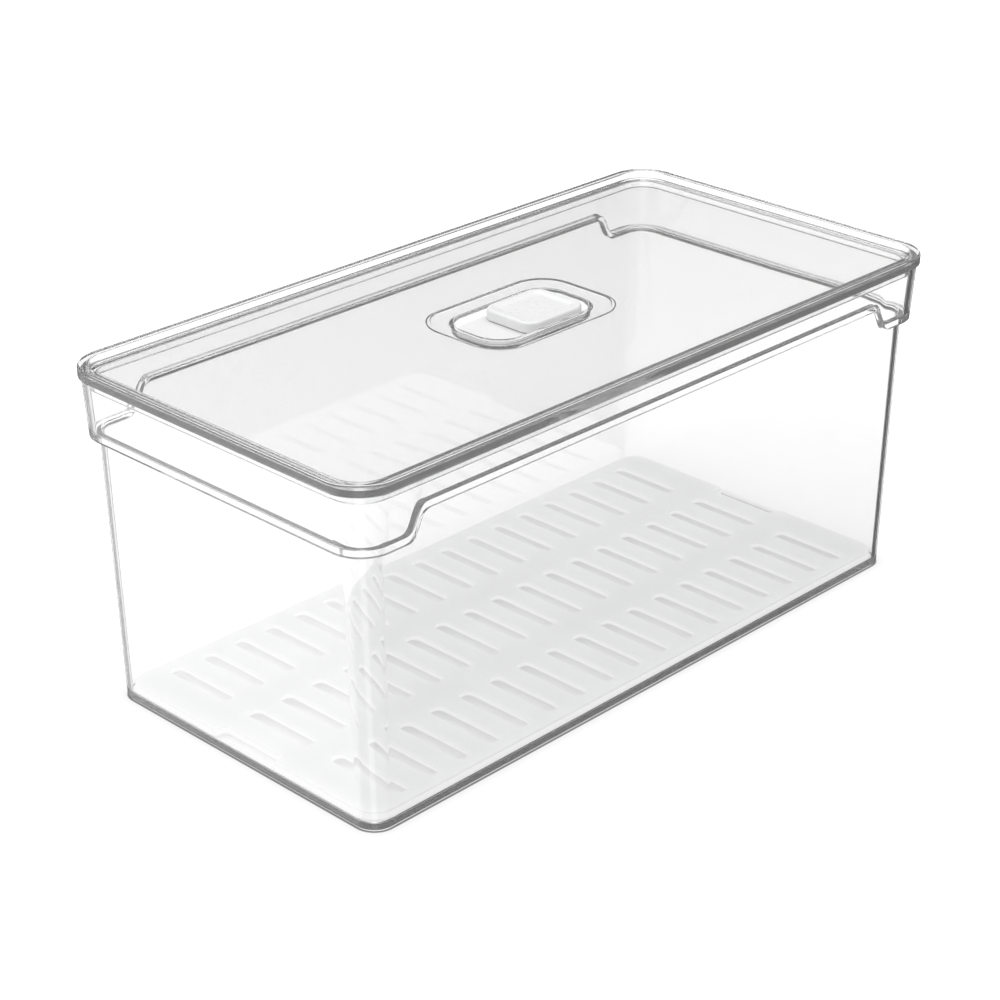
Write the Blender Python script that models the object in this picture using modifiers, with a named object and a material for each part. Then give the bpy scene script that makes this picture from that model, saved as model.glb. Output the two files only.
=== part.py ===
"""Clear lidded fridge bin: a tapered tub, a lid with a sliding vent, and a slotted drain tray.

Sizes are in millimetres and are turned into metres when a mesh is made.
+X runs along the bin, +Z is up, and the origin is the middle of the base.
"""
import math

import bmesh
import bpy
from mathutils import Vector

MM = 0.001

# Overall size, which is the lid's outline and its top.
LENGTH = 320.0
WIDTH = 160.0
HEIGHT = 140.0
LID_RADIUS = 16.0
GAP = 0.3
ARC_STEPS = 8
PIVOT_SIZE = 0.02

# Tub. An inset is how far a face lies inside the lid's outline.
WALL = 2.2
FLOOR = 2.4
BASE_INSET_X = 10.0
BASE_INSET_Y = 7.2
BASE_RADIUS = 9.0
BASE_FILLET = 2.4
FLOOR_FILLET = 1.6
WALL_TOP_INSET = 6.0
COLLAR_INSET = 2.6
RIM_INSET = 1.2
RIM_TOP = 135.3
COLLAR_ROUND = 0.8
LEDGE = 2.4
FOOT_LOW = 111.8
FOOT_HIGH = 122.3
FOOT_CURVE_OUTER = 137.0
FOOT_CURVE_INNER = 122.5
FOOT_CURVE_STEPS = 16

# Lid.
FLANGE_BOTTOM = RIM_TOP + GAP
RIM_WIDTH = 3.6
PANEL_TOP = 136.7
PANEL_BOTTOM = 134.8
SKIRT_OUTER = 4.4
SKIRT_INNER = 6.2
SKIRT_BOTTOM = 131.6

# Vent recess and pocket in the lid: half length, half width, corner radius.
RECESS = (35.0, 22.5, 13.0)
RECESS_FLOOR = 135.9
RECESS_UNDERSIDE = 134.0
RECESS_WALL = 1.7
POCKET = (28.0, 15.5, 11.0)
POCKET_DRAFT = 0.6
POCKET_FLOOR = 131.3
POCKET_UNDERSIDE = 129.8
POCKET_WALL = 1.4
AIR_OPENING_X = 7.75
AIR_OPENING = (13.25, 6.5, 3.0)

# Vent pieces.
LINER = (26.3, 13.9, 9.2)
LINER_THICKNESS = 0.8
SLIDE_X = 7.0
SLIDE = (16.0, 13.5, 6.0)
SLIDE_TOP = 137.0
SLIDE_DISH = 0.7
SLIDE_DISH_WIDTH = 3.6
NECK_X = 15.8
NECK = (4.8, 6.0, 1.5)
NECK_BOTTOM = 128.6
RETAINER_X = 11.0
RETAINER = (12.5, 12.0, 3.0)
RETAINER_THICKNESS = 1.2

# Drain tray.
TRAY_HALF_X = 146.7
TRAY_HALF_Y = 69.5
TRAY_RADIUS = 8.0
TRAY_TOP = 6.0
TRAY_PLATE = 2.0
TRAY_SKIRT = 1.8
NOTCH_HALF = 16.0
NOTCH_DEPTH = 5.0
NOTCH_RADIUS = 2.0
SLOT = (3.2, 17.0, 2.8)
SLOT_PITCH_X = 16.0
SLOT_PITCH_Y = 46.5
SLOTS_X = 17
SLOTS_Y = 3


def clear_scene():
    for obj in list(bpy.data.objects):
        bpy.data.objects.remove(obj, do_unlink=True)
    for collection in list(bpy.data.collections):
        bpy.data.collections.remove(collection)


def new_collection(name):
    collection = bpy.data.collections.new(name)
    bpy.context.scene.collection.children.link(collection)
    return collection


def plastic(name, colour, roughness, alpha=1.0):
    material = bpy.data.materials.new(name)
    material.use_nodes = True
    shader = material.node_tree.nodes["Principled BSDF"]
    shader.inputs["Base Color"].default_value = (*colour, 1.0)
    shader.inputs["Roughness"].default_value = roughness
    shader.inputs["Metallic"].default_value = 0.0
    shader.inputs["Alpha"].default_value = alpha
    return material


def mix(a, b, share):
    return a + (b - a) * share


def rounded_polygon(corners, steps=ARC_STEPS):
    """Outline through corners (x, y, radius). A corner of radius 0 stays one point."""
    points = []
    for index, (x, y, radius) in enumerate(corners):
        corner = Vector((x, y))
        if radius <= 0.0:
            points.append(corner)
            continue
        before = Vector(corners[index - 1][:2])
        after = Vector(corners[(index + 1) % len(corners)][:2])
        back = (before - corner).normalized()
        ahead = (after - corner).normalized()
        half_angle = back.angle(ahead) / 2.0
        centre = corner + (back + ahead).normalized() * radius / math.sin(half_angle)
        reach = radius / math.tan(half_angle)
        first = corner + back * reach - centre
        last = corner + ahead * reach - centre
        sweep = first.angle_signed(last)
        for step in range(steps + 1):
            turn = -sweep * step / steps
            cosine = math.cos(turn)
            sine = math.sin(turn)
            offset = Vector((first.x * cosine - first.y * sine, first.x * sine + first.y * cosine))
            points.append(centre + offset)
    return points


def rounded_rectangle(half_x, half_y, radius, centre_x=0.0, stops=()):
    """Counter-clockwise outline. Each stop adds a point at plus and minus x on both long sides."""
    along = sorted(set(stops) | {-stop for stop in stops})
    corners = [(centre_x + half_x, half_y, radius)]
    corners += [(x, half_y, 0.0) for x in reversed(along)]
    corners += [(centre_x - half_x, half_y, radius), (centre_x - half_x, -half_y, radius)]
    corners += [(x, -half_y, 0.0) for x in along]
    corners += [(centre_x + half_x, -half_y, radius)]
    return rounded_polygon(corners)


def loft(name, rings, origin, collection, material, ring_shaped=False):
    """Solid through rings of (x, y, z) points. It closes on itself, or ends in two flat caps."""
    mesh = bpy.data.meshes.new(name)
    bm = bmesh.new()
    start = Vector(origin)
    rows = [[bm.verts.new((Vector(point) - start) * MM) for point in ring] for ring in rings]
    count = len(rings[0])
    pairs = list(zip(rows, rows[1:]))
    if ring_shaped:
        pairs.append((rows[-1], rows[0]))
    else:
        bm.faces.new(list(reversed(rows[0])))
        bm.faces.new(rows[-1])
    for lower, upper in pairs:
        for i in range(count):
            j = (i + 1) % count
            bm.faces.new((lower[i], lower[j], upper[j], upper[i]))
    bmesh.ops.recalc_face_normals(bm, faces=bm.faces)
    bm.to_mesh(mesh)
    bm.free()
    obj = bpy.data.objects.new(name, mesh)
    obj.location = start * MM
    if material:
        mesh.materials.append(material)
    collection.objects.link(obj)
    return obj


def level_ring(outline, z):
    return [(point.x, point.y, z) for point in outline]


def station_ring(station):
    """Ring for a station (centre_x, half_x, half_y, radius, z)."""
    centre_x, half_x, half_y, radius, z = station
    return level_ring(rounded_rectangle(half_x, half_y, radius, centre_x), z)


def quarter(steps):
    """Shares (1 - sin, 1 - cos) along a quarter turn, from a level face to an upright one."""
    angles = [math.pi / 2.0 * step / steps for step in range(steps + 1)]
    return [(1.0 - math.sin(angle), 1.0 - math.cos(angle)) for angle in angles]


def offset_size(size, grow):
    """Grow a (half length, half width, radius) size outwards on every side."""
    half_x, half_y, radius = size
    return half_x + grow, half_y + grow, radius + grow


def pivot(name, location, parent, collection):
    empty = bpy.data.objects.new(name, None)
    empty.empty_display_size = PIVOT_SIZE
    collection.objects.link(empty)
    empty.location = Vector(location) * MM
    if parent:
        empty.parent = parent
        empty.location -= parent.location
    return empty


def attach(obj, parent):
    """Parent a piece and keep it where it is in the world."""
    obj.parent = parent
    world = parent.location.copy()
    above = parent.parent
    while above:
        world += above.location
        above = above.parent
    obj.location -= world


# ---------------------------------------------------------------- tub

def foot_height(x):
    """Height of the collar's lower edge: low at the ends and corners, high along the sides."""
    share = (FOOT_CURVE_OUTER - abs(x)) / (FOOT_CURVE_OUTER - FOOT_CURVE_INNER)
    share = min(1.0, max(0.0, share))
    eased = share ** 3 / (share ** 3 + (1.0 - share) ** 3)
    return mix(FOOT_LOW, FOOT_HIGH, eased)


def wall_station(z, extra):
    """Outer wall at a height, moved inwards by extra: (inset_x, inset_y, radius, z)."""
    share = z / FOOT_HIGH
    inset_x = mix(BASE_INSET_X, WALL_TOP_INSET, share) + extra
    inset_y = mix(BASE_INSET_Y, WALL_TOP_INSET, share) + extra
    radius = mix(BASE_RADIUS, LID_RADIUS - WALL_TOP_INSET, share) - extra
    return inset_x, inset_y, radius, z


def collar_station(inset, z):
    return inset, inset, LID_RADIUS - inset, z


def tub_section(foot):
    """Section of the tub where the collar's lower edge is at height foot: up outside, down inside."""
    step_round = 0.8
    lip_round = 0.5
    ledge = foot + LEDGE
    ledge_round = 1.0
    section = []
    for level, upright in quarter(3):
        section.append(wall_station(BASE_FILLET * upright, BASE_FILLET * level))
    for level, upright in reversed(quarter(2)):
        inset_x, inset_y, radius, _ = wall_station(foot, -step_round * level)
        section.append((inset_x, inset_y, radius, foot - step_round * upright))
    for level, upright in quarter(4):
        section.append(collar_station(COLLAR_INSET + COLLAR_ROUND * level, foot + COLLAR_ROUND * upright))
    for level, upright in reversed(quarter(2)):
        section.append(collar_station(RIM_INSET + lip_round * level, RIM_TOP - lip_round * upright))
    for level, upright in quarter(2):
        section.append(collar_station(RIM_INSET + WALL - lip_round * level, RIM_TOP - lip_round * upright))
    for level, upright in reversed(quarter(2)):
        section.append(collar_station(COLLAR_INSET + WALL + ledge_round * level,
                                      ledge + ledge_round * upright))
    for level, upright in quarter(2):
        section.append(wall_station(ledge - ledge_round * upright, WALL - ledge_round * level))
    for level, upright in reversed(quarter(3)):
        section.append(wall_station(FLOOR + FLOOR_FILLET * upright, WALL + FLOOR_FILLET * level))
    return section


def make_tub(collection, material):
    span = FOOT_CURVE_OUTER - FOOT_CURVE_INNER
    stops = [FOOT_CURVE_INNER + span * step / FOOT_CURVE_STEPS for step in range(FOOT_CURVE_STEPS + 1)]

    def outline(station):
        inset_x, inset_y, radius, _ = station
        return rounded_rectangle(LENGTH / 2.0 - inset_x, WIDTH / 2.0 - inset_y, radius, stops=stops)

    reference = outline(collar_station(COLLAR_INSET, FOOT_LOW))
    sections = [tub_section(foot_height(point.x)) for point in reference]
    rings = []
    for level in range(len(sections[0])):
        ring = []
        for index, section in enumerate(sections):
            station = section[level]
            point = outline(station)[index]
            ring.append((point.x, point.y, station[3]))
        rings.append(ring)
    return loft("bin_body", rings, (0.0, 0.0, 0.0), collection, material)


# ---------------------------------------------------------------- lid

def lid_inset(inset, z):
    """Lid station that follows the lid's outline at an inset."""
    return 0.0, LENGTH / 2.0 - inset, WIDTH / 2.0 - inset, LID_RADIUS - inset, z


def lid_underside():
    """Stations from the air opening's lower edge outwards to the skirt."""
    pocket_round = 1.2
    step_round = 0.6
    boss_round = 0.8
    pocket_foot = offset_size(POCKET, POCKET_WALL - POCKET_DRAFT)
    pocket_head = offset_size(POCKET, POCKET_WALL)
    boss = offset_size(RECESS, RECESS_WALL)
    stations = [(AIR_OPENING_X, *AIR_OPENING, POCKET_UNDERSIDE)]
    for level, upright in quarter(3):
        stations.append((0.0, *offset_size(pocket_foot, -pocket_round * level),
                         POCKET_UNDERSIDE + pocket_round * upright))
    for level, upright in reversed(quarter(2)):
        stations.append((0.0, *offset_size(pocket_head, step_round * level),
                         RECESS_UNDERSIDE - step_round * upright))
    for level, upright in quarter(2):
        stations.append((0.0, *offset_size(boss, -boss_round * level),
                         RECESS_UNDERSIDE + (PANEL_BOTTOM - RECESS_UNDERSIDE) * upright))
    return stations


def lid_rim():
    """Stations from the panel's underside round the skirt, flange and raised rim to the panel."""
    inner_round = 0.8
    skirt_round = 0.5
    flange_round = 0.5
    top_round = 1.1
    rim_round = 0.7
    rim_slope = 0.5
    foot_round = 0.8
    stations = []
    for level, upright in quarter(2):
        stations.append(lid_inset(SKIRT_INNER + inner_round * level, PANEL_BOTTOM - inner_round * upright))
    for level, upright in reversed(quarter(2)):
        stations.append(lid_inset(SKIRT_INNER - skirt_round * level, SKIRT_BOTTOM + skirt_round * upright))
    for level, upright in quarter(2):
        stations.append(lid_inset(SKIRT_OUTER + skirt_round * level, SKIRT_BOTTOM + skirt_round * upright))
    stations.append(lid_inset(SKIRT_OUTER, FLANGE_BOTTOM))
    for level, upright in quarter(2):
        stations.append(lid_inset(flange_round * level, FLANGE_BOTTOM + flange_round * upright))
    for level, upright in reversed(quarter(4)):
        stations.append(lid_inset(top_round * level, HEIGHT - top_round * upright))
    for level, upright in quarter(3):
        stations.append(lid_inset(RIM_WIDTH + rim_round * (1.0 - level), HEIGHT - rim_round * upright))
    rim_foot = RIM_WIDTH + rim_round + rim_slope
    for level, upright in reversed(quarter(3)):
        stations.append(lid_inset(rim_foot + foot_round * level, PANEL_TOP + foot_round * upright))
    return stations


def lid_vent_top():
    """Stations from the panel into the recess and pocket, to the air opening's upper edge."""
    edge = 0.3
    recess_foot = 0.4
    pocket_edge = 0.6
    floor_round = 1.0
    pocket_foot = offset_size(POCKET, -POCKET_DRAFT)
    stations = []
    for level, upright in quarter(2):
        stations.append((0.0, *offset_size(RECESS, edge * level), PANEL_TOP - edge * upright))
    for level, upright in reversed(quarter(2)):
        stations.append((0.0, *offset_size(RECESS, -recess_foot * level),
                         RECESS_FLOOR + recess_foot * upright))
    for level, upright in quarter(3):
        stations.append((0.0, *offset_size(POCKET, pocket_edge * level),
                         RECESS_FLOOR - pocket_edge * upright))
    for level, upright in reversed(quarter(3)):
        stations.append((0.0, *offset_size(pocket_foot, -floor_round * level),
                         POCKET_FLOOR + floor_round * upright))
    stations.append((AIR_OPENING_X, *AIR_OPENING, POCKET_FLOOR))
    return stations


def make_lid(collection, material):
    stations = lid_underside() + lid_rim() + lid_vent_top()
    rings = [station_ring(station) for station in stations]
    return loft("lid", rings, (0.0, 0.0, FLANGE_BOTTOM), collection, material, ring_shaped=True)


# ---------------------------------------------------------------- vent

def make_liner(collection, material):
    bottom = POCKET_FLOOR + GAP
    top = bottom + LINER_THICKNESS
    edge = 0.2
    stations = [(AIR_OPENING_X, *AIR_OPENING, bottom),
                (0.0, *LINER, bottom),
                (0.0, *LINER, top - edge),
                (0.0, *offset_size(LINER, -edge), top),
                (AIR_OPENING_X, *AIR_OPENING, top)]
    rings = [station_ring(station) for station in stations]
    return loft("vent_liner", rings, (0.0, 0.0, bottom), collection, material, ring_shaped=True)


def make_slide(collection, material):
    bottom = POCKET_FLOOR + GAP + LINER_THICKNESS + GAP
    foot_edge = 0.4
    top_round = 1.0
    crest = 0.8
    dish_steps = 4
    stations = [(NECK_X, *NECK, NECK_BOTTOM), (NECK_X, *NECK, bottom)]
    for level, upright in quarter(1):
        stations.append((SLIDE_X, *offset_size(SLIDE, -foot_edge * level), bottom + foot_edge * upright))
    for level, upright in reversed(quarter(4)):
        stations.append((SLIDE_X, *offset_size(SLIDE, -top_round * level), SLIDE_TOP - top_round * upright))
    rim = offset_size(SLIDE, -top_round - crest)
    for step in range(dish_steps + 1):
        share = step / dish_steps
        drop = SLIDE_DISH * (0.5 - 0.5 * math.cos(math.pi * share))
        stations.append((SLIDE_X, *offset_size(rim, -SLIDE_DISH_WIDTH * share), SLIDE_TOP - drop))
    rings = [station_ring(station) for station in stations]
    return loft("vent_slide", rings, (SLIDE_X, 0.0, bottom), collection, material)


def make_retainer(collection, material):
    top = POCKET_UNDERSIDE - GAP
    bottom = top - RETAINER_THICKNESS
    edge = 0.25
    hole = offset_size(NECK, GAP)
    stations = [(NECK_X, *hole, bottom),
                (RETAINER_X, *offset_size(RETAINER, -edge), bottom),
                (RETAINER_X, *RETAINER, bottom + edge),
                (RETAINER_X, *RETAINER, top),
                (NECK_X, *hole, top)]
    rings = [station_ring(station) for station in stations]
    return loft("vent_retainer", rings, (RETAINER_X, 0.0, top), collection, material, ring_shaped=True)


# ---------------------------------------------------------------- drain tray

def tray_outline(grow):
    """Tray outline with a finger notch in each end, grown outwards by grow."""
    end = TRAY_HALF_X + grow
    side = TRAY_HALF_Y + grow
    notch_end = TRAY_HALF_X - NOTCH_DEPTH + grow
    notch_side = NOTCH_HALF - grow
    smallest_round = 0.2
    outer_round = max(smallest_round, NOTCH_RADIUS + grow)
    inner_round = NOTCH_RADIUS - grow
    radius = TRAY_RADIUS + grow
    half = [(end, -notch_side, outer_round),
            (notch_end, -notch_side, inner_round),
            (notch_end, notch_side, inner_round),
            (end, notch_side, outer_round),
            (end, side, radius),
            (-end, side, radius)]
    return rounded_polygon(half + [(-x, -y, corner) for x, y, corner in half], steps=4)


def make_slot_cutter(collection):
    """One slot, repeated over the tray by two arrays."""
    start_x = -SLOT_PITCH_X * (SLOTS_X - 1) / 2.0
    start_y = -SLOT_PITCH_Y * (SLOTS_Y - 1) / 2.0
    half_x, half_y, radius = SLOT
    square = [(half_x, half_y, radius), (-half_x, half_y, radius),
              (-half_x, -half_y, radius), (half_x, -half_y, radius)]
    outline = [point + Vector((start_x, start_y)) for point in rounded_polygon(square, steps=3)]
    rings = [level_ring(outline, TRAY_TOP - 2.0 * TRAY_PLATE), level_ring(outline, TRAY_TOP + TRAY_PLATE)]
    cutter = loft("slot_cutter", rings, (start_x, start_y, TRAY_TOP), collection, None)
    for axis, count, pitch in ((0, SLOTS_X, SLOT_PITCH_X), (1, SLOTS_Y, SLOT_PITCH_Y)):
        array = cutter.modifiers.new("repeat", "ARRAY")
        array.use_relative_offset = False
        array.use_constant_offset = True
        step = [0.0, 0.0, 0.0]
        step[axis] = pitch * MM
        array.constant_offset_displace = step
        array.count = count
    cutter.hide_render = True
    cutter.display_type = "WIRE"
    return cutter


def make_tray(collection, cutters, material):
    bottom = FLOOR + GAP
    top_round = 0.6
    inner = tray_outline(-TRAY_SKIRT)
    rings = [level_ring(inner, TRAY_TOP - TRAY_PLATE),
             level_ring(inner, bottom),
             level_ring(tray_outline(0.0), bottom)]
    for level, upright in reversed(quarter(2)):
        rings.append(level_ring(tray_outline(-top_round * level), TRAY_TOP - top_round * upright))
    tray = loft("drain_tray", rings, (0.0, 0.0, bottom), collection, material)
    cut = tray.modifiers.new("slots", "BOOLEAN")
    cut.operation = "DIFFERENCE"
    cut.solver = "EXACT"
    cut.object = make_slot_cutter(cutters)
    return tray


def main():
    clear_scene()
    parts = new_collection("fridge_bin")
    cutters = new_collection("cutters")
    clear = plastic("clear_plastic", (0.92, 0.94, 0.95), 0.05, 0.3)
    lid_clear = plastic("lid_clear_plastic", (0.90, 0.92, 0.93), 0.05, 0.35)
    white = plastic("white_plastic", (0.90, 0.90, 0.90), 0.35)
    liner_white = plastic("liner_white", (0.88, 0.88, 0.88), 0.5)
    retainer_white = plastic("retainer_white", (0.82, 0.82, 0.82), 0.4)
    frosted = plastic("frosted_plastic", (0.86, 0.87, 0.87), 0.6, 0.85)

    make_tub(parts, clear)
    lid = make_lid(parts, lid_clear)
    liner = make_liner(parts, liner_white)
    slide = make_slide(parts, white)
    retainer = make_retainer(parts, retainer_white)
    tray = make_tray(parts, cutters, frosted)

    lid_pivot = pivot("lid_lift", (0.0, 0.0, FLANGE_BOTTOM), None, parts)
    vent_pivot = pivot("vent_travel", (SLIDE_X, 0.0, POCKET_FLOOR), lid_pivot, parts)
    tray_pivot = pivot("tray_lift", (0.0, 0.0, FLOOR), None, parts)
    attach(lid, lid_pivot)
    attach(liner, lid_pivot)
    attach(slide, vent_pivot)
    attach(retainer, vent_pivot)
    attach(tray, tray_pivot)


main()
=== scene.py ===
"""Looks for the clear lidded fridge bin: fine moulded shells, plastic materials and a white studio.

Every piece is rebuilt at its packed place with finer rounds than the frame has.
Shapes are worked out in millimetres, in the frame's own axes, and made in metres.
"""
import math

import bmesh
import bpy
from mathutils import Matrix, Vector


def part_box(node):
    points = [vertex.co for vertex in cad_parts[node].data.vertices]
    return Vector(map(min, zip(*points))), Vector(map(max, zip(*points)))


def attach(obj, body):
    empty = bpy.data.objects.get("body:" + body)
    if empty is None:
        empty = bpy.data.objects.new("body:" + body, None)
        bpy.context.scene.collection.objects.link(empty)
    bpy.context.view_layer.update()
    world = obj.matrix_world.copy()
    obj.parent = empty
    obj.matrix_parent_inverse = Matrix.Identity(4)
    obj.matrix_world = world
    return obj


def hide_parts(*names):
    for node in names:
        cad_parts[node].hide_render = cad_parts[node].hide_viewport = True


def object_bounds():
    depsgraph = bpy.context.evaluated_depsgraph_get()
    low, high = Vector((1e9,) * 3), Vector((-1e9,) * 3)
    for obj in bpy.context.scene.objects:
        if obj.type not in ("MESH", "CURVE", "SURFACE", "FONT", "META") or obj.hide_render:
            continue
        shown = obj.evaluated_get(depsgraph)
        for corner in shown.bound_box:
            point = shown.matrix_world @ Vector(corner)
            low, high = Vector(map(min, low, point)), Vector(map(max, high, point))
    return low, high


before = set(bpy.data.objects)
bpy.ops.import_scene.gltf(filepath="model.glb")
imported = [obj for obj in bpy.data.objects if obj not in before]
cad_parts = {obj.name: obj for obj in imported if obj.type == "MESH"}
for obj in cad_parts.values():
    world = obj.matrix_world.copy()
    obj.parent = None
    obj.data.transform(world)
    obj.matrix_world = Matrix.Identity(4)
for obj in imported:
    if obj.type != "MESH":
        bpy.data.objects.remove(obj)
cad_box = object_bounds()

MM = 0.001


def box_mm(node):
    low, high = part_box(node)
    return low / MM, high / MM


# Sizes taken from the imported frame.
LID_LOW, LID_HIGH = box_mm("lid")
TRAY_LOW, TRAY_HIGH = box_mm("drain_tray")
LINER_LOW, LINER_HIGH = box_mm("vent_liner")
SLIDE_LOW, SLIDE_HIGH = box_mm("vent_slide")
RETAINER_LOW, RETAINER_HIGH = box_mm("vent_retainer")

LENGTH = LID_HIGH.x - LID_LOW.x
WIDTH = LID_HIGH.y - LID_LOW.y
HEIGHT = LID_HIGH.z
RIM_TOP = box_mm("bin_body")[1].z

# Moulding details, in millimetres. An inset is how far a face lies inside the lid's outline.
LID_RADIUS = 16.0
WALL = 2.2
FLOOR = 2.4
BASE_INSET_X = 10.0
BASE_INSET_Y = 7.2
BASE_RADIUS = 9.0
BASE_FILLET = 1.5
FLOOR_FILLET = 1.2
WALL_TOP_INSET = 6.0
COLLAR_INSET = 2.6
RIM_INSET = 1.2
COLLAR_ROUND = 0.35
LEDGE = 2.4

# The collar's lower edge: low round the ends, high along the sides, with a curve between two places on X.
FOOT_LOW = 111.8
FOOT_HIGH = 122.3
FOOT_CURVE_OUTER = 137.0
FOOT_CURVE_INNER = 122.5
FOOT_CURVE_STEPS = 40

# Lid sizes.
SEAT_GAP = 0.3
FLANGE_BOTTOM = RIM_TOP + SEAT_GAP
RIM_WIDTH = 3.6
PANEL_TOP = 136.7
PANEL_BOTTOM = 134.8
SKIRT_OUTER = 4.4
SKIRT_INNER = 6.2
SKIRT_BOTTOM = 131.6

# Vent sizes. A size in brackets is half length, half width and corner radius.
RECESS = (35.0, 22.5, 13.0)
RECESS_FLOOR = 135.9
RECESS_UNDERSIDE = 134.0
RECESS_WALL = 1.7
POCKET = (28.0, 15.5, 11.0)
POCKET_DRAFT = 0.6
POCKET_FLOOR = 131.3
POCKET_UNDERSIDE = 129.8
POCKET_WALL = 1.4
AIR_OPENING_X = 7.75
AIR_OPENING = (13.25, 6.5, 3.0)
LINER_RADIUS = 9.2
SLIDE_RADIUS = 6.0
SLIDE_GAP = 0.3
SLIDE_DISH = 0.7
SLIDE_DISH_WIDTH = 3.6
NECK_X = 15.8
NECK = (4.8, 6.0, 1.5)
NECK_GAP = 0.3
RETAINER_RADIUS = 3.0

# Tray sizes.
TRAY_RADIUS = 8.0
TRAY_PLATE = 2.0
TRAY_SKIRT = 1.8
NOTCH_HALF = 16.0
NOTCH_DEPTH = 5.0
NOTCH_RADIUS = 2.0
SLOT = (3.2, 17.0, 2.8)
SLOT_PITCH_X = 16.0
SLOT_PITCH_Y = 46.5
SLOTS_X = 17
SLOTS_Y = 3

# Meshes: steps round a corner, and the angle from which an edge is shaded as sharp.
CORNER_STEPS = 22
SHARP_FROM = math.radians(40.0)

# Studio floor, in millimetres. The painted contact shadow is read over a strip across the base's edge.
FLOOR_RADIUS = 12000.0
FLOOR_GAP = 0.2
SHADE_STRIP_INSIDE = 6.0
SHADE_STRIP = 24.0
BACKDROP_REACH = 300.0

# Light: the painted glow of the tray's upright faces (a painted edge highlight), the floor's colour,
# and the share of the floor's own glow that falls on matt surfaces.
PAINTED_EDGE_GLOW = 0.97
FLOOR_GREY = 0.35
FLOOR_GLOW_ON_MATT = 0.45


# ---------------------------------------------------------------- mesh helpers

def mix(a, b, share):
    return a + (b - a) * share


def rounded_polygon(corners, steps=CORNER_STEPS):
    """Outline through corners (x, y, radius). A corner of radius 0 stays one point."""
    points = []
    for index, (x, y, radius) in enumerate(corners):
        corner = Vector((x, y))
        if radius <= 0.0:
            points.append(corner)
            continue
        back = (Vector(corners[index - 1][:2]) - corner).normalized()
        ahead = (Vector(corners[(index + 1) % len(corners)][:2]) - corner).normalized()
        half_angle = back.angle(ahead) / 2.0
        centre = corner + (back + ahead).normalized() * radius / math.sin(half_angle)
        reach = radius / math.tan(half_angle)
        first = corner + back * reach - centre
        last = corner + ahead * reach - centre
        sweep = first.angle_signed(last)
        for step in range(steps + 1):
            turn = -sweep * step / steps
            cosine = math.cos(turn)
            sine = math.sin(turn)
            offset = Vector((first.x * cosine - first.y * sine, first.x * sine + first.y * cosine))
            points.append(centre + offset)
    return points


def rounded_rectangle(half_x, half_y, radius, centre_x=0.0, stops=()):
    """Counter-clockwise outline. Each stop adds a point at plus and minus x on both long sides."""
    along = sorted(set(stops) | {-stop for stop in stops})
    corners = [(centre_x + half_x, half_y, radius)]
    corners += [(x, half_y, 0.0) for x in reversed(along)]
    corners += [(centre_x - half_x, half_y, radius), (centre_x - half_x, -half_y, radius)]
    corners += [(x, -half_y, 0.0) for x in along]
    corners += [(centre_x + half_x, -half_y, radius)]
    return rounded_polygon(corners)


def level_ring(outline, z):
    return [(point.x, point.y, z) for point in outline]


def station_ring(station):
    """Ring for a station (centre_x, half_x, half_y, radius, z)."""
    centre_x, half_x, half_y, radius, z = station
    return level_ring(rounded_rectangle(half_x, half_y, radius, centre_x), z)


def quarter(steps):
    """Shares (1 - sin, 1 - cos) along a quarter turn, from a level face to an upright one."""
    angles = [math.pi / 2.0 * step / steps for step in range(steps + 1)]
    return [(1.0 - math.sin(angle), 1.0 - math.cos(angle)) for angle in angles]


def offset_size(size, grow):
    half_x, half_y, radius = size
    return half_x + grow, half_y + grow, radius + grow


def add_wall(bm, lower, upper):
    """Faces all the way round between two rows of corners."""
    for i in range(len(lower)):
        j = (i + 1) % len(lower)
        bm.faces.new((lower[i], lower[j], upper[j], upper[i]))


def object_from(bm, name):
    """Object in the scene made from a bmesh, which is used up."""
    mesh = bpy.data.meshes.new(name)
    bm.to_mesh(mesh)
    bm.free()
    obj = bpy.data.objects.new(name, mesh)
    bpy.context.scene.collection.objects.link(obj)
    return obj


def loft(name, rings, ring_shaped=False):
    """Smooth solid through rings of (x, y, z). It closes on itself, or ends in two flat caps."""
    bm = bmesh.new()
    rows = [[bm.verts.new(Vector(point) * MM) for point in ring] for ring in rings]
    pairs = list(zip(rows, rows[1:]))
    if ring_shaped:
        pairs.append((rows[-1], rows[0]))
    else:
        bm.faces.new(list(reversed(rows[0])))
        bm.faces.new(rows[-1])
    for lower, upper in pairs:
        add_wall(bm, lower, upper)
    bmesh.ops.recalc_face_normals(bm, faces=bm.faces)
    for face in bm.faces:
        face.smooth = True
    for edge in bm.edges:
        edge.smooth = edge.calc_face_angle(0.0) < SHARP_FROM
    return object_from(bm, name)


def steady_normals(obj):
    """Keeps large flat faces flat to the eye beside their small rounds."""
    weighted = obj.modifiers.new("steady_normals", "WEIGHTED_NORMAL")
    weighted.mode = "FACE_AREA"
    weighted.weight = 100
    weighted.keep_sharp = True


def finish_piece(obj, node, body, material):
    obj.data.materials.clear()
    obj.data.materials.append(material)
    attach(obj, body)
    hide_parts(node)


# ---------------------------------------------------------------- tub

def foot_height(x):
    """Height of the collar's lower edge: low at the ends and corners, high along the sides."""
    share = (FOOT_CURVE_OUTER - abs(x)) / (FOOT_CURVE_OUTER - FOOT_CURVE_INNER)
    share = min(1.0, max(0.0, share))
    steepness = 3
    eased = share ** steepness / (share ** steepness + (1.0 - share) ** steepness)
    return mix(FOOT_LOW, FOOT_HIGH, eased)


def wall_station(z, extra):
    """Outer wall at a height, moved inwards by extra: (inset_x, inset_y, radius, z)."""
    share = z / FOOT_HIGH
    inset_x = mix(BASE_INSET_X, WALL_TOP_INSET, share) + extra
    inset_y = mix(BASE_INSET_Y, WALL_TOP_INSET, share) + extra
    radius = mix(BASE_RADIUS, LID_RADIUS - WALL_TOP_INSET, share) - extra
    return inset_x, inset_y, radius, z


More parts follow.
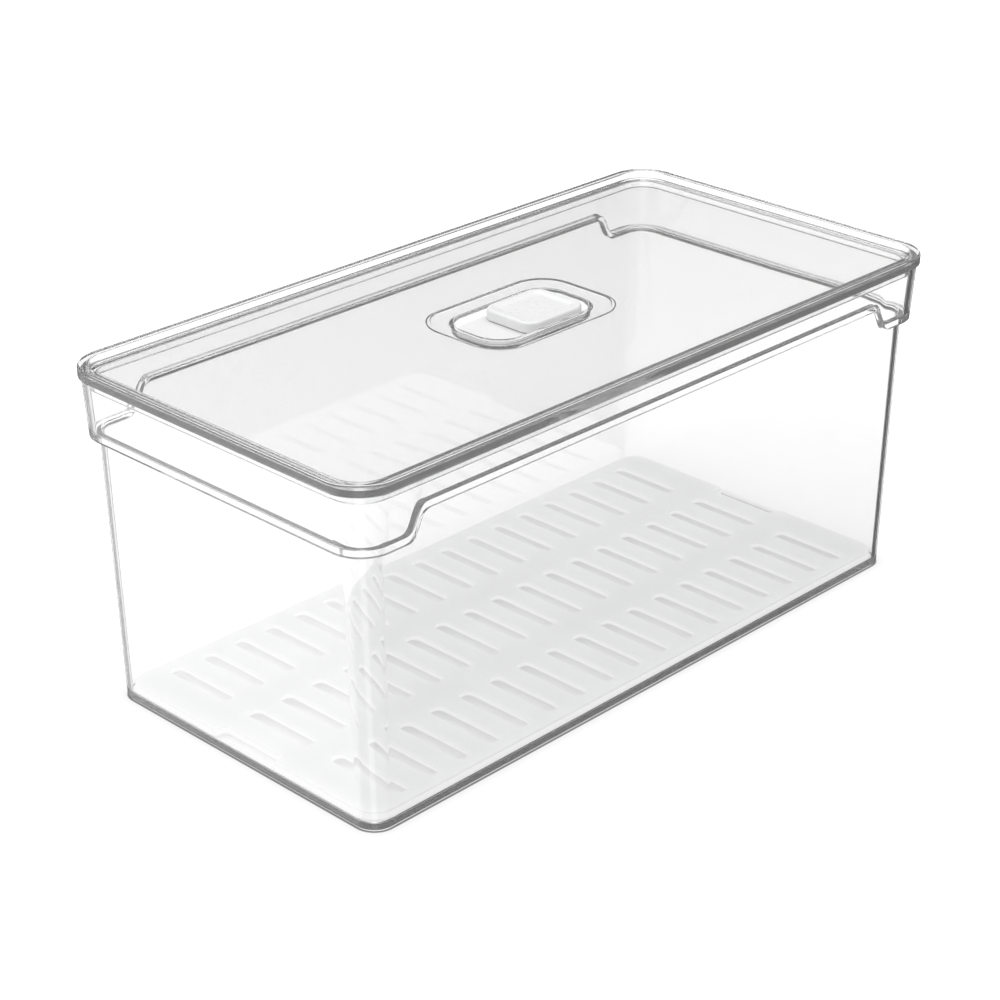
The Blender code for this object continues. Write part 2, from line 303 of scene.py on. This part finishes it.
def collar_station(inset, z):
    return inset, inset, LID_RADIUS - inset, z


def tub_section(foot):
    """Section of the tub, up outside and down inside, for a collar that starts at height foot."""
    step_round = 0.5
    lip_round = 0.5
    ledge = foot + LEDGE
    ledge_round = 1.0
    section = []
    for level, upright in quarter(6):
        section.append(wall_station(BASE_FILLET * upright, BASE_FILLET * level))
    for level, upright in reversed(quarter(4)):
        under_collar = wall_station(foot, -step_round * level)[:3]
        section.append((*under_collar, foot - step_round * upright))
    for level, upright in quarter(7):
        section.append(collar_station(COLLAR_INSET + COLLAR_ROUND * level,
                                      foot + COLLAR_ROUND * upright))
    for level, upright in reversed(quarter(4)):
        section.append(collar_station(RIM_INSET + lip_round * level, RIM_TOP - lip_round * upright))
    for level, upright in quarter(4):
        section.append(collar_station(RIM_INSET + WALL - lip_round * level,
                                      RIM_TOP - lip_round * upright))
    for level, upright in reversed(quarter(4)):
        section.append(collar_station(COLLAR_INSET + WALL + ledge_round * level,
                                      ledge + ledge_round * upright))
    for level, upright in quarter(5):
        section.append(wall_station(ledge - ledge_round * upright, WALL - ledge_round * level))
    for level, upright in reversed(quarter(5)):
        section.append(wall_station(FLOOR + FLOOR_FILLET * upright, WALL + FLOOR_FILLET * level))
    return section


def make_tub(material):
    span = FOOT_CURVE_OUTER - FOOT_CURVE_INNER
    stops = [FOOT_CURVE_INNER + span * step / FOOT_CURVE_STEPS for step in range(FOOT_CURVE_STEPS + 1)]
    outlines = {}

    def outline_point(station, index):
        key = station[:3]
        if key not in outlines:
            inset_x, inset_y, radius = key
            outlines[key] = rounded_rectangle(LENGTH / 2.0 - inset_x, WIDTH / 2.0 - inset_y, radius,
                                              stops=stops)
        return outlines[key][index]

    reference = rounded_rectangle(LENGTH / 2.0 - COLLAR_INSET, WIDTH / 2.0 - COLLAR_INSET,
                                  LID_RADIUS - COLLAR_INSET, stops=stops)
    sections = [tub_section(foot_height(point.x)) for point in reference]
    rings = []
    for level in range(len(sections[0])):
        ring = []
        for index, section in enumerate(sections):
            point = outline_point(section[level], index)
            ring.append((point.x, point.y, section[level][3]))
        rings.append(ring)
    tub = loft("tub_shell", rings)
    steady_normals(tub)
    finish_piece(tub, "bin_body", "tub", material)


# ---------------------------------------------------------------- lid

def lid_inset(inset, z):
    """Lid station that follows the lid's outline at an inset."""
    return 0.0, LENGTH / 2.0 - inset, WIDTH / 2.0 - inset, LID_RADIUS - inset, z


def lid_underside():
    """Stations from the air opening's lower edge outwards to the skirt."""
    pocket_round = 1.2
    step_round = 0.6
    boss_round = 0.8
    pocket_foot = offset_size(POCKET, POCKET_WALL - POCKET_DRAFT)
    pocket_head = offset_size(POCKET, POCKET_WALL)
    boss = offset_size(RECESS, RECESS_WALL)
    stations = [(AIR_OPENING_X, *AIR_OPENING, POCKET_UNDERSIDE)]
    for level, upright in quarter(6):
        stations.append((0.0, *offset_size(pocket_foot, -pocket_round * level),
                         POCKET_UNDERSIDE + pocket_round * upright))
    for level, upright in reversed(quarter(4)):
        stations.append((0.0, *offset_size(pocket_head, step_round * level),
                         RECESS_UNDERSIDE - step_round * upright))
    for level, upright in quarter(4):
        stations.append((0.0, *offset_size(boss, -boss_round * level),
                         RECESS_UNDERSIDE + (PANEL_BOTTOM - RECESS_UNDERSIDE) * upright))
    return stations


def lid_rim():
    """Stations from the panel's underside round the skirt, flange and raised rim to the panel."""
    inner_round = 0.8
    skirt_round = 0.5
    flange_round = 0.5
    top_round = 1.1
    rim_round = 0.7
    foot_round = 0.8
    rim_lean = 0.5
    stations = []
    for level, upright in quarter(4):
        stations.append(lid_inset(SKIRT_INNER + inner_round * level,
                                  PANEL_BOTTOM - inner_round * upright))
    for level, upright in reversed(quarter(4)):
        stations.append(lid_inset(SKIRT_INNER - skirt_round * level,
                                  SKIRT_BOTTOM + skirt_round * upright))
    for level, upright in quarter(4):
        stations.append(lid_inset(SKIRT_OUTER + skirt_round * level,
                                  SKIRT_BOTTOM + skirt_round * upright))
    stations.append(lid_inset(SKIRT_OUTER, FLANGE_BOTTOM))
    for level, upright in quarter(4):
        stations.append(lid_inset(flange_round * level, FLANGE_BOTTOM + flange_round * upright))
    for level, upright in reversed(quarter(6)):
        stations.append(lid_inset(top_round * level, HEIGHT - top_round * upright))
    for level, upright in quarter(5):
        stations.append(lid_inset(RIM_WIDTH + rim_round * (1.0 - level), HEIGHT - rim_round * upright))
    rim_foot = RIM_WIDTH + rim_round + rim_lean
    for level, upright in reversed(quarter(5)):
        stations.append(lid_inset(rim_foot + foot_round * level, PANEL_TOP + foot_round * upright))
    return stations


def lid_vent_top():
    """Stations from the panel into the recess and pocket, to the air opening's upper edge."""
    edge = 0.3
    recess_foot = 0.4
    pocket_edge = 0.6
    floor_round = 1.0
    pocket_foot = offset_size(POCKET, -POCKET_DRAFT)
    stations = []
    for level, upright in quarter(4):
        stations.append((0.0, *offset_size(RECESS, edge * level), PANEL_TOP - edge * upright))
    for level, upright in reversed(quarter(4)):
        stations.append((0.0, *offset_size(RECESS, -recess_foot * level),
                         RECESS_FLOOR + recess_foot * upright))
    for level, upright in quarter(5):
        stations.append((0.0, *offset_size(POCKET, pocket_edge * level),
                         RECESS_FLOOR - pocket_edge * upright))
    for level, upright in reversed(quarter(5)):
        stations.append((0.0, *offset_size(pocket_foot, -floor_round * level),
                         POCKET_FLOOR + floor_round * upright))
    stations.append((AIR_OPENING_X, *AIR_OPENING, POCKET_FLOOR))
    return stations


def make_lid(material):
    stations = lid_underside() + lid_rim() + lid_vent_top()
    lid = loft("lid_shell", [station_ring(station) for station in stations], ring_shaped=True)
    steady_normals(lid)
    finish_piece(lid, "lid", "lid", material)


# ---------------------------------------------------------------- vent

def make_liner(material):
    edge = 0.25
    size = (LINER_HIGH.x, LINER_HIGH.y, LINER_RADIUS)
    low = LINER_LOW.z
    high = LINER_HIGH.z
    stations = [(AIR_OPENING_X, *AIR_OPENING, low), (0.0, *size, low)]
    for level, upright in reversed(quarter(4)):
        stations.append((0.0, *offset_size(size, -edge * level), high - edge * upright))
    for level, upright in quarter(4):
        stations.append((AIR_OPENING_X, *offset_size(AIR_OPENING, edge * level), high - edge * upright))
    liner = loft("vent_floor", [station_ring(station) for station in stations], ring_shaped=True)
    steady_normals(liner)
    finish_piece(liner, "vent_liner", "lid", material)


def make_slide(material):
    half_x = (SLIDE_HIGH.x - SLIDE_LOW.x) / 2.0
    centre_x = (SLIDE_HIGH.x + SLIDE_LOW.x) / 2.0
    size = (half_x, SLIDE_HIGH.y, SLIDE_RADIUS)
    bottom = LINER_HIGH.z + SLIDE_GAP
    top = SLIDE_HIGH.z
    foot_edge = 0.4
    top_round = 1.0
    crest = 0.8
    dish_steps = 10
    neck_edge = 0.4
    stations = []
    for level, upright in quarter(3):
        stations.append((NECK_X, *offset_size(NECK, -neck_edge * level),
                         SLIDE_LOW.z + neck_edge * upright))
    stations.append((NECK_X, *NECK, bottom))
    for level, upright in quarter(4):
        stations.append((centre_x, *offset_size(size, -foot_edge * level),
                         bottom + foot_edge * upright))
    for level, upright in reversed(quarter(7)):
        stations.append((centre_x, *offset_size(size, -top_round * level), top - top_round * upright))
    rim = offset_size(size, -top_round - crest)
    for step in range(dish_steps + 1):
        share = step / dish_steps
        drop = SLIDE_DISH * (0.5 - 0.5 * math.cos(math.pi * share))
        stations.append((centre_x, *offset_size(rim, -SLIDE_DISH_WIDTH * share), top - drop))
    slide = loft("vent_button", [station_ring(station) for station in stations])
    steady_normals(slide)
    finish_piece(slide, "vent_slide", "vent", material)


def make_retainer(material):
    edge = 0.3
    centre_x = (RETAINER_HIGH.x + RETAINER_LOW.x) / 2.0
    size = ((RETAINER_HIGH.x - RETAINER_LOW.x) / 2.0, RETAINER_HIGH.y, RETAINER_RADIUS)
    hole = offset_size(NECK, NECK_GAP)
    low = RETAINER_LOW.z
    high = RETAINER_HIGH.z
    stations = [(NECK_X, *hole, low)]
    for level, upright in quarter(4):
        stations.append((centre_x, *offset_size(size, -edge * level), low + edge * upright))
    for level, upright in reversed(quarter(4)):
        stations.append((centre_x, *offset_size(size, -edge * level), high - edge * upright))
    stations.append((NECK_X, *hole, high))
    retainer = loft("vent_keeper", [station_ring(station) for station in stations], ring_shaped=True)
    steady_normals(retainer)
    finish_piece(retainer, "vent_retainer", "vent", material)


# ---------------------------------------------------------------- drain tray

def tray_outline(grow):
    """Tray outline with a finger notch in each end, grown outwards by grow."""
    end = TRAY_HIGH.x + grow
    side = TRAY_HIGH.y + grow
    notch_end = TRAY_HIGH.x - NOTCH_DEPTH + grow
    notch_side = NOTCH_HALF - grow
    smallest_round = 0.8
    outer_round = max(smallest_round, NOTCH_RADIUS + grow)
    inner_round = NOTCH_RADIUS - grow
    radius = TRAY_RADIUS + grow
    half = [(end, -notch_side, outer_round),
            (notch_end, -notch_side, inner_round),
            (notch_end, notch_side, inner_round),
            (end, notch_side, outer_round),
            (end, side, radius),
            (-end, side, radius)]
    return rounded_polygon(half + [(-x, -y, corner) for x, y, corner in half], steps=8)


def make_slot_cutter():
    """Every slot of the tray in one mesh of separate prisms."""
    half_x, half_y, radius = SLOT
    square = [(half_x, half_y, radius), (-half_x, half_y, radius),
              (-half_x, -half_y, radius), (half_x, -half_y, radius)]
    outline = rounded_polygon(square, steps=6)
    bm = bmesh.new()
    reach_below = 1.0
    reach_above = 2.0
    low = TRAY_LOW.z - reach_below
    high = TRAY_HIGH.z + reach_above
    for column in range(SLOTS_X):
        for row in range(SLOTS_Y):
            shift = Vector(((column - (SLOTS_X - 1) / 2.0) * SLOT_PITCH_X,
                            (row - (SLOTS_Y - 1) / 2.0) * SLOT_PITCH_Y))
            lower = [bm.verts.new(Vector((*(point + shift), low)) * MM) for point in outline]
            upper = [bm.verts.new(Vector((*(point + shift), high)) * MM) for point in outline]
            bm.faces.new(list(reversed(lower)))
            bm.faces.new(upper)
            add_wall(bm, lower, upper)
    bmesh.ops.recalc_face_normals(bm, faces=bm.faces)
    return object_from(bm, "slot_cutter")


def split_between_slots(mesh):
    """Cuts the plate into one cell per slot, so that every face around a slot stays simple."""
    same_place = 1e-7
    bm = bmesh.new()
    bm.from_mesh(mesh)
    along_x = Vector((1.0, 0.0, 0.0))
    along_y = Vector((0.0, 1.0, 0.0))
    lines = [(along_x * (column - SLOTS_X / 2.0) * SLOT_PITCH_X, along_x)
             for column in range(SLOTS_X + 1)]
    lines += [(along_y * (row - SLOTS_Y / 2.0) * SLOT_PITCH_Y, along_y)
              for row in range(1, SLOTS_Y)]
    for point, normal in lines:
        everything = bm.verts[:] + bm.edges[:] + bm.faces[:]
        bmesh.ops.bisect_plane(bm, geom=everything, dist=same_place, plane_co=point * MM,
                               plane_no=normal)
    bm.to_mesh(mesh)
    bm.free()


def make_tray(material):
    bottom = TRAY_LOW.z
    top = TRAY_HIGH.z
    top_round = 0.6
    slot_edge = 0.25
    softened_from = math.radians(50.0)
    inner = tray_outline(-TRAY_SKIRT)
    rings = [level_ring(inner, top - TRAY_PLATE), level_ring(inner, bottom),
             level_ring(tray_outline(0.0), bottom)]
    for level, upright in reversed(quarter(4)):
        rings.append(level_ring(tray_outline(-top_round * level), top - top_round * upright))
    tray = loft("tray_plate", rings)
    split_between_slots(tray.data)
    cutter = make_slot_cutter()
    cut = tray.modifiers.new("slots", "BOOLEAN")
    cut.operation = "DIFFERENCE"
    cut.solver = "EXACT"
    cut.object = cutter
    soften = tray.modifiers.new("soften", "BEVEL")
    soften.width = slot_edge * MM
    soften.segments = 2
    soften.limit_method = "ANGLE"
    soften.angle_limit = softened_from
    bpy.context.view_layer.update()
    evaluated = tray.evaluated_get(bpy.context.evaluated_depsgraph_get())
    shaped = bpy.data.meshes.new_from_object(evaluated)
    tray.modifiers.clear()
    tray.data = shaped
    bpy.data.objects.remove(cutter, do_unlink=True)
    for polygon in tray.data.polygons:
        polygon.use_smooth = True
    steady_normals(tray)
    finish_piece(tray, "drain_tray", "tray", material)


# ---------------------------------------------------------------- materials

class Nodes:
    """Short calls for building one material's or world's node tree."""

    def __init__(self, owner):
        owner.use_nodes = True
        self.tree = owner.node_tree
        self.tree.nodes.clear()

    def add(self, kind, **values):
        node = self.tree.nodes.new(kind)
        for name, value in values.items():
            setattr(node, name, value)
        return node

    def join(self, source, target):
        self.tree.links.new(source, target)

    def feed(self, value, target):
        """Gives an input a plain number or another node's output."""
        if isinstance(value, (int, float)):
            target.default_value = value
        else:
            self.join(value, target)

    def maths(self, operation, a, b=0.0, clamp=False):
        node = self.add("ShaderNodeMath", operation=operation, use_clamp=clamp)
        for target, value in zip(node.inputs, (a, b)):
            self.feed(value, target)
        return node.outputs[0]

    def split(self, vector):
        """The x, y and z outputs of a vector."""
        node = self.add("ShaderNodeSeparateXYZ")
        self.join(vector, node.inputs[0])
        return node.outputs

    def noise(self, scale, detail=3.0):
        place = self.add("ShaderNodeTexCoord")
        noise = self.add("ShaderNodeTexNoise")
        noise.inputs["Scale"].default_value = scale
        noise.inputs["Detail"].default_value = detail
        self.join(place.outputs["Object"], noise.inputs["Vector"])
        return noise.outputs["Fac"]

    def spread(self, value, low, high):
        """Stretches a noise, which mostly lies between 0.3 and 0.7, to run from low to high."""
        node = self.add("ShaderNodeMapRange")
        self.join(value, node.inputs["Value"])
        node.inputs["From Min"].default_value = 0.3
        node.inputs["From Max"].default_value = 0.7
        node.inputs["To Min"].default_value = low
        node.inputs["To Max"].default_value = high
        return node.outputs["Result"]

    def blend(self, share, a, b):
        """a where share is 0, b where it is 1."""
        node = self.add("ShaderNodeMix", data_type="FLOAT")
        for target, value in zip(node.inputs[:1] + node.inputs[2:4], (share, a, b)):
            self.feed(value, target)
        return node.outputs["Result"]

    def smooth_step(self, value, start, end, high=1.0):
        """0 up to start, rising to high at end."""
        node = self.add("ShaderNodeMapRange", interpolation_type="SMOOTHSTEP")
        self.join(value, node.inputs["Value"])
        node.inputs["From Min"].default_value = start
        node.inputs["From Max"].default_value = end
        node.inputs["To Max"].default_value = high
        return node.outputs["Result"]

    def bands(self, value, stops):
        """Level along value, which is held between 0 and 1, through the stops (position, level)."""
        node = self.add("ShaderNodeFloatCurve")
        self.join(self.maths("ADD", value, 0.0, clamp=True), node.inputs["Value"])
        curve = node.mapping.curves[0]
        node.mapping.use_clip = False
        curve.points[0].location = stops[0]
        curve.points[1].location = stops[-1]
        for stop in stops[1:-1]:
            curve.points.new(*stop)
        for point in curve.points:
            point.handle_type = "VECTOR"
        node.mapping.update()
        return node.outputs["Value"]

    def mottle(self, pattern, first, second):
        """Colour that wanders between two colours along a pattern."""
        node = self.add("ShaderNodeMix", data_type="RGBA")
        node.inputs["A"].default_value = (*first, 1.0)
        node.inputs["B"].default_value = (*second, 1.0)
        self.join(self.spread(pattern, 0.0, 1.0), node.inputs["Factor"])
        return node.outputs["Result"]

    def mix_shaders(self, share, first, second):
        """first where share is 0, second where it is 1."""
        node = self.add("ShaderNodeMixShader")
        self.feed(share, node.inputs[0])
        self.join(first.outputs[0], node.inputs[1])
        self.join(second.outputs[0], node.inputs[2])
        return node

    def bump(self, height, distance, strength):
        node = self.add("ShaderNodeBump")
        node.inputs["Distance"].default_value = distance
        node.inputs["Strength"].default_value = strength
        self.join(height, node.inputs["Height"])
        return node.outputs["Normal"]

    def close(self, surface, volume=None):
        """Ends a material's tree in its output."""
        output = self.add("ShaderNodeOutputMaterial")
        self.join(surface.outputs[0], output.inputs["Surface"])
        if volume is not None:
            self.join(volume.outputs[0], output.inputs["Volume"])


def clear_plastic(name, absorption):
    """Polished clear plastic with a faint haze and moulding ripple, darker through its edges."""
    haze = 0.03
    material = bpy.data.materials.new(name)
    nodes = Nodes(material)
    shader = nodes.add("ShaderNodeBsdfPrincipled")
    shader.inputs["Base Color"].default_value = (0.99, 0.99, 0.99, 1.0)
    shader.inputs["IOR"].default_value = 1.5
    shader.inputs["Transmission Weight"].default_value = 1.0 - haze
    nodes.join(nodes.spread(nodes.noise(scale=70.0), 0.0, 0.03), shader.inputs["Roughness"])
    ripple = nodes.bump(nodes.noise(scale=14.0, detail=0.0), distance=0.00002, strength=0.5)
    nodes.join(ripple, shader.inputs["Normal"])
    see_through = nodes.add("ShaderNodeBsdfTransparent")
    see_through.inputs["Color"].default_value = (0.97, 0.97, 0.97, 1.0)
    path = nodes.add("ShaderNodeLightPath")
    passes = nodes.maths("MAXIMUM", path.outputs["Is Shadow Ray"], path.outputs["Is Diffuse Ray"])
    inside = nodes.add("ShaderNodeVolumeAbsorption")
    inside.inputs["Color"].default_value = (0.5, 0.5, 0.5, 1.0)
    inside.inputs["Density"].default_value = absorption
    nodes.close(nodes.mix_shaders(passes, shader, see_through), inside)
    return material


def white_plastic(name, shade, roughness, grain):
    """Opaque white moulded plastic with a fine moulded grain, whose depth is in metres."""
    material = bpy.data.materials.new(name)
    nodes = Nodes(material)
    shader = nodes.add("ShaderNodeBsdfPrincipled")
    plain = (shade, shade, shade)
    duller = (shade * 0.97, shade * 0.975, shade * 0.975)
    nodes.join(nodes.mottle(nodes.noise(scale=160.0), plain, duller), shader.inputs["Base Color"])
    nodes.join(nodes.spread(nodes.noise(scale=420.0), roughness - 0.05, roughness + 0.07),
               shader.inputs["Roughness"])
    nodes.join(nodes.bump(nodes.noise(scale=2400.0, detail=2.0), distance=grain, strength=0.4),
               shader.inputs["Normal"])
    nodes.close(shader)
    return material


def frosted_plastic(name):
    """Milky tray plastic: a satin grained face that lets soft light through, with a painted highlight
    glowing on its upright faces and cut edges.
    """
    glow_share = 0.3
    material = bpy.data.materials.new(name)
    nodes = Nodes(material)
    shader = nodes.add("ShaderNodeBsdfPrincipled")
    nodes.join(nodes.mottle(nodes.noise(scale=60.0, detail=5.0), (0.94, 0.94, 0.94), (0.91, 0.91, 0.91)),
               shader.inputs["Base Color"])
    nodes.join(nodes.spread(nodes.noise(scale=500.0), 0.45, 0.6), shader.inputs["Roughness"])
    nodes.join(nodes.bump(nodes.noise(scale=1500.0), distance=0.00005, strength=0.6),
               shader.inputs["Normal"])
    glow = nodes.add("ShaderNodeBsdfTranslucent")
    glow.inputs["Color"].default_value = (0.86, 0.87, 0.88, 1.0)
    milky = nodes.mix_shaders(glow_share, shader, glow)
    # Painted highlight: upright faces, such as the slot walls and the skirt, glow white as far as they
    # stand upright.
    facing = nodes.split(nodes.add("ShaderNodeNewGeometry").outputs["True Normal"])
    upright = nodes.maths("SUBTRACT", 1.0, nodes.maths("ABSOLUTE", facing["Z"]), clamp=True)
    painted_edge_highlight = nodes.add("ShaderNodeEmission")
    painted_edge_highlight.inputs["Strength"].default_value = PAINTED_EDGE_GLOW
    nodes.close(nodes.mix_shaders(upright, milky, painted_edge_highlight))
    material.cycles.emission_sampling = "NONE"
    return material


# ---------------------------------------------------------------- studio

def camera_axes(nodes, toward):
    """The x, y and z of a ray's direction as the camera sees it."""
    turned = nodes.add("ShaderNodeVectorTransform", vector_type="VECTOR", convert_from="WORLD",
                       convert_to="CAMERA")
    nodes.join(toward, turned.inputs[0])
    return nodes.split(turned.outputs[0])


def side_level(nodes, seen):
    """What bent rays meet beside the picture: a soft box at the left, a dark flag at the right."""
    across = nodes.maths("ADD", nodes.maths("MULTIPLY", seen["X"], 0.5), 0.5)
    return nodes.bands(across, [(0.0, 1.2), (0.1, 1.2), (0.17, 0.35), (0.36, 0.35), (0.44, 1.0),
                                (0.56, 1.0), (0.62, 0.07), (1.0, 0.05)])


def straight_ahead(nodes, seen):
    """1 for a ray that runs nearly along the camera's line of sight, to the pale backdrop."""
    return nodes.smooth_step(nodes.maths("ABSOLUTE", seen["Z"]), 0.93, 0.965)


def optical_ray(nodes):
    """1 for a ray last bent or mirrored by plastic, 0 for camera, diffuse and lamp rays."""
    path = nodes.add("ShaderNodeLightPath")
    return nodes.maths("MAXIMUM", path.outputs["Is Glossy Ray"], path.outputs["Is Transmission Ray"])


def distance_from_base(nodes):
    """How far a point of the floor lies outside the base's flat underside, negative under it."""
    radius = (BASE_RADIUS - BASE_FILLET) * MM
    half_x = (LENGTH / 2.0 - BASE_INSET_X - BASE_FILLET) * MM
    half_y = (WIDTH / 2.0 - BASE_INSET_Y - BASE_FILLET) * MM
    place = nodes.split(nodes.add("ShaderNodeNewGeometry").outputs["Position"])
    beyond_x = nodes.maths("SUBTRACT", nodes.maths("ABSOLUTE", place["X"]), half_x - radius)
    beyond_y = nodes.maths("SUBTRACT", nodes.maths("ABSOLUTE", place["Y"]), half_y - radius)
    out_x = nodes.maths("MAXIMUM", beyond_x, 0.0)
    out_y = nodes.maths("MAXIMUM", beyond_y, 0.0)
    outside = nodes.maths("SQRT", nodes.maths("ADD", nodes.maths("MULTIPLY", out_x, out_x),
                                              nodes.maths("MULTIPLY", out_y, out_y)))
    inside = nodes.maths("MINIMUM", nodes.maths("MAXIMUM", beyond_x, beyond_y), 0.0)
    return nodes.maths("SUBTRACT", nodes.maths("ADD", outside, inside), radius)


def painted_contact_shadow(nodes, from_edge):
    """Painted contact shadow: the share of the floor's colour and glow kept, little in the gap under the
    base's rounded edge.
    """
    into_strip = nodes.maths("ADD", from_edge, SHADE_STRIP_INSIDE * MM)
    along_strip = nodes.maths("DIVIDE", into_strip, SHADE_STRIP * MM, clamp=True)
    return nodes.bands(along_strip, [(0.0, 0.98), (0.25, 1.0), (0.268, 1.0), (0.28, 0.2), (0.311, 0.2),
                                     (0.33, 0.85), (0.6, 0.97), (1.0, 1.0)])


def backdrop_level(nodes, from_edge):
    """The floor's own glow, which rises away from the bin: it is dimmer near the bin as a painted soft
    shade.
    """
    away = nodes.maths("DIVIDE", from_edge, BACKDROP_REACH * MM, clamp=True)
    return nodes.bands(away, [(0.0, 0.68), (0.13, 0.76), (0.4, 0.84), (1.0, 0.88)])


def studio_white():
    """Glowing matt floor. Rays bent by plastic see the studio's sides in it instead."""
    material = bpy.data.materials.new("studio_white")
    nodes = Nodes(material)
    from_edge = distance_from_base(nodes)
    # Painted contact shadow, multiplied into the floor's colour and into its glow.
    shade = painted_contact_shadow(nodes, from_edge)
    matt = nodes.add("ShaderNodeBsdfDiffuse")
    nodes.join(nodes.maths("MULTIPLY", shade, FLOOR_GREY), matt.inputs["Color"])
    path = nodes.add("ShaderNodeLightPath")
    glow_share = nodes.blend(path.outputs["Is Diffuse Ray"], 1.0, FLOOR_GLOW_ON_MATT)
    # Painted soft shade: the floor's glow is dimmer close to the bin.
    own_light = nodes.maths("MULTIPLY", shade, backdrop_level(nodes, from_edge))
    glow = nodes.add("ShaderNodeEmission")
    nodes.join(nodes.maths("MULTIPLY", own_light, glow_share), glow.inputs["Strength"])
    lit = nodes.add("ShaderNodeAddShader")
    nodes.join(matt.outputs[0], lit.inputs[0])
    nodes.join(glow.outputs[0], lit.inputs[1])
    toward = nodes.add("ShaderNodeVectorMath", operation="SCALE")
    toward.inputs["Scale"].default_value = -1.0
    nodes.join(nodes.add("ShaderNodeNewGeometry").outputs["Incoming"], toward.inputs[0])
    seen = camera_axes(nodes, toward.outputs[0])
    beside = nodes.add("ShaderNodeEmission")
    nodes.join(side_level(nodes, seen), beside.inputs["Color"])
    off_axis = nodes.maths("SUBTRACT", 1.0, straight_ahead(nodes, seen))
    bent = nodes.maths("MULTIPLY", optical_ray(nodes), off_axis)
    nodes.close(nodes.mix_shaders(bent, lit, beside))
    material.cycles.emission_sampling = "NONE"
    return material


def make_floor():
    bm = bmesh.new()
    bmesh.ops.create_circle(bm, cap_ends=True, segments=96, radius=FLOOR_RADIUS * MM)
    floor = object_from(bm, "studio_floor")
    floor.location.z = cad_box[0][2] - FLOOR_GAP * MM
    floor.data.materials.append(studio_white())


def make_world():
    """Soft light from above and the left. Plastic mirrors a dim room under a bright ceiling."""
    key_direction = Vector((-0.55, 0.5, 0.67)).normalized()
    world = bpy.data.worlds.new("studio")
    bpy.context.scene.world = world
    nodes = Nodes(world)
    toward = nodes.add("ShaderNodeTexCoord").outputs["Generated"]
    height = nodes.split(toward)["Z"]
    near_key = nodes.add("ShaderNodeVectorMath", operation="DOT_PRODUCT")
    nodes.join(toward, near_key.inputs[0])
    near_key.inputs[1].default_value = key_direction
    key_light = nodes.smooth_step(near_key.outputs["Value"], 0.8, 0.95, high=0.9)
    sky = nodes.bands(height, [(0.0, 0.4), (0.35, 0.35), (0.6, 1.3), (1.0, 1.45)])
    light = nodes.maths("ADD", sky, key_light)
    room = nodes.bands(height, [(0.0, 0.9), (0.1, 0.5), (0.22, 0.05), (0.6, 0.06), (0.78, 1.6),
                                (1.0, 1.6)])
    room = nodes.blend(straight_ahead(nodes, camera_axes(nodes, toward)), room, 1.0)
    path = nodes.add("ShaderNodeLightPath")
    level = nodes.blend(optical_ray(nodes), light, room)
    level = nodes.blend(path.outputs["Is Camera Ray"], level, 1.0)
    background = nodes.add("ShaderNodeBackground")
    nodes.join(level, background.inputs["Color"])
    output = nodes.add("ShaderNodeOutputWorld")
    nodes.join(background.outputs[0], output.inputs["Surface"])


def make_camera():
    """The photograph's own angle, with the bin filling the frame. Lengths are in metres."""
    azimuth = math.radians(-45.7)
    elevation = math.radians(25.9)
    distance = 0.978
    target = Vector((-0.0196, -0.0075, 0.065))
    back = Vector((math.sin(azimuth) * math.cos(elevation), -math.cos(azimuth) * math.cos(elevation),
                   math.sin(elevation)))
    camera_data = bpy.data.cameras.new("camera")
    camera_data.sensor_width = 36.0
    camera_data.lens = 90.0
    camera = bpy.data.objects.new("camera", camera_data)
    camera.location = target + back * distance
    camera.rotation_euler = back.to_track_quat("Z", "Y").to_euler()
    bpy.context.scene.collection.objects.link(camera)
    bpy.context.scene.camera = camera


def set_light_paths():
    """Enough bounces for rays to leave the nested clear walls, and plain display colours."""
    scene = bpy.context.scene
    scene.view_settings.view_transform = "Standard"
    scene.cycles.max_bounces = 32
    scene.cycles.transmission_bounces = 32
    scene.cycles.glossy_bounces = 16
    scene.cycles.transparent_max_bounces = 32


make_tub(clear_plastic("clear_tub", absorption=2.0))
make_lid(clear_plastic("clear_lid", absorption=16.0))
make_liner(white_plastic("white_floor", shade=0.75, roughness=0.5, grain=0.000008))
make_slide(white_plastic("white_button", shade=0.8, roughness=0.3, grain=0.000004))
make_retainer(white_plastic("white_keeper", shade=0.82, roughness=0.4, grain=0.00002))
make_tray(frosted_plastic("frosted_tray"))
make_floor()
make_world()
make_camera()
set_light_paths()
